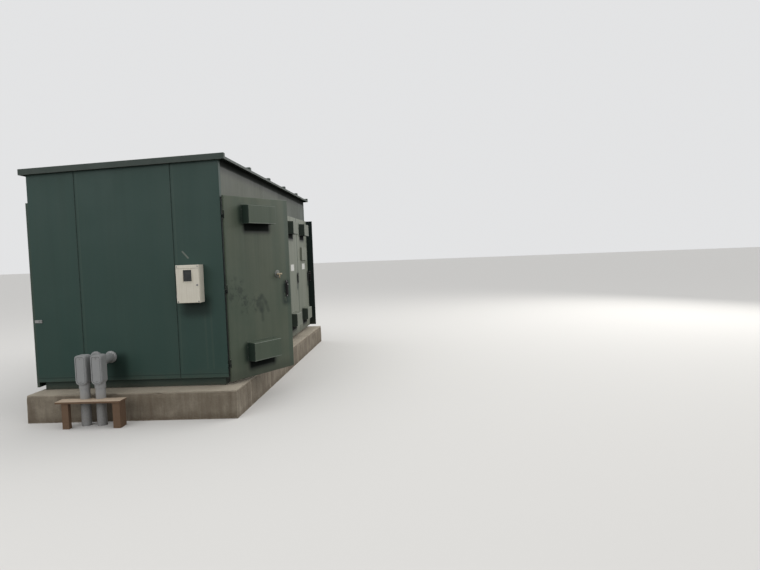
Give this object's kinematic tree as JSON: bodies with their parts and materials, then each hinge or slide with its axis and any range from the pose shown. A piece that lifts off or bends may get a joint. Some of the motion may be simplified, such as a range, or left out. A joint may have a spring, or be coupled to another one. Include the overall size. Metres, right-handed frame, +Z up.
{
  "type": "outdoor switchgear enclosure",
  "caption": "Outdoor sheet-steel electrical enclosure on a concrete pad, with a single-pitch seamed roof, hooded side doors on hinges, an end door and conduit entries.",
  "frame": {"origin": "on the ground, under the middle of the enclosure", "axes": "+Z up, +Y along the length away from the front end wall, +X out through the row of doors"},
  "size_m": [2.7304, 5.89, 2.8258],
  "materials": {
    "concrete": null,
    "base_paint": "matt dark green paint, dirty",
    "wall_paint": "weathered dark green paint",
    "door_paint": "weathered green paint, chalked lighter",
    "handle_black": "black, worn",
    "meter_beige": "beige enamel",
    "window_glass": "dark sight glass",
    "conduit_grey": "grey rigid PVC",
    "timber": "weathered board",
    "bare_steel": "bare strap"
  },
  "bodies": {
    "housing": {"back_gable_trim": "wall_paint", "back_header": "wall_paint", "back_left_panel": "wall_paint", "back_right_panel": "wall_paint", "base_back": "base_paint", "base_front": "base_paint", "base_left": "base_paint", "base_right": "base_paint", "concrete_pad": "concrete", "conduit_left": "conduit_grey", "conduit_right": "conduit_grey", "floor_plate": "base_paint", "front_gable_trim": "wall_paint", "front_left_panel": "wall_paint", "front_middle_panel": "wall_paint", "front_right_panel": "wall_paint", "left_wall": "wall_paint", "loose_board": "timber", "meter_box": "meter_beige", "meter_box_cover": "meter_beige", "meter_box_window": "window_glass", "rear_cover_1": "door_paint", "rear_cover_2": "door_paint", "rear_cover_3": "door_paint", "rear_cover_4": "door_paint", "rear_cover_5": "door_paint", "rear_hasp": "bare_steel", "right_header": "wall_paint", "right_post_1": "wall_paint", "right_post_2": "wall_paint", "right_post_3": "wall_paint", "right_post_4": "wall_paint", "right_post_5": "wall_paint", "right_post_6": "wall_paint", "roof_deck": "wall_paint"},
    "door_1": {"door_1": "door_paint", "door_1_handle": "handle_black", "door_1_upper_hood": "door_paint", "door_1_lower_hood": "door_paint"},
    "door_2": {"door_2": "door_paint", "door_2_handle": "handle_black", "door_2_upper_hood": "door_paint", "door_2_lower_hood": "door_paint"},
    "door_3": {"door_3": "door_paint", "door_3_handle": "handle_black", "door_3_upper_hood": "door_paint", "door_3_lower_hood": "door_paint"},
    "door_4": {"door_4": "door_paint", "door_4_handle": "handle_black", "door_4_upper_hood": "door_paint", "door_4_lower_hood": "door_paint"},
    "door_5": {"door_5": "door_paint", "door_5_handle": "handle_black", "door_5_upper_hood": "door_paint", "door_5_lower_hood": "door_paint", "door_5_cover_plate": "door_paint"},
    "end_door": {"end_door": "door_paint", "end_door_handle": "handle_black"}
  },
  "joints": [
    {"name": "door_1_hinge", "type": "hinge", "parent": "housing", "child": "door_1", "pos_m": [1.097, -2.6595, 1.36], "axis": [0, 0, -1], "range_deg": [-29, 61]},
    {"name": "door_2_hinge", "type": "hinge", "parent": "housing", "child": "door_2", "pos_m": [1.097, -1.5925, 1.36], "axis": [0, 0, -1], "range_deg": [0, 90]},
    {"name": "door_3_hinge", "type": "hinge", "parent": "housing", "child": "door_3", "pos_m": [1.097, -0.5255, 1.36], "axis": [0, 0, -1], "range_deg": [0, 90]},
    {"name": "door_4_hinge", "type": "hinge", "parent": "housing", "child": "door_4", "pos_m": [1.097, 0.5415, 1.36], "axis": [0, 0, -1], "range_deg": [0, 90]},
    {"name": "door_5_hinge", "type": "hinge", "parent": "housing", "child": "door_5", "pos_m": [1.097, 1.6085, 1.36], "axis": [0, 0, -1], "range_deg": [0, 90]},
    {"name": "end_door_hinge", "type": "hinge", "parent": "housing", "child": "end_door", "pos_m": [0.195, 2.6975, 1.36], "axis": [0, 0, -1], "range_deg": [-180, 0]}
  ]
}
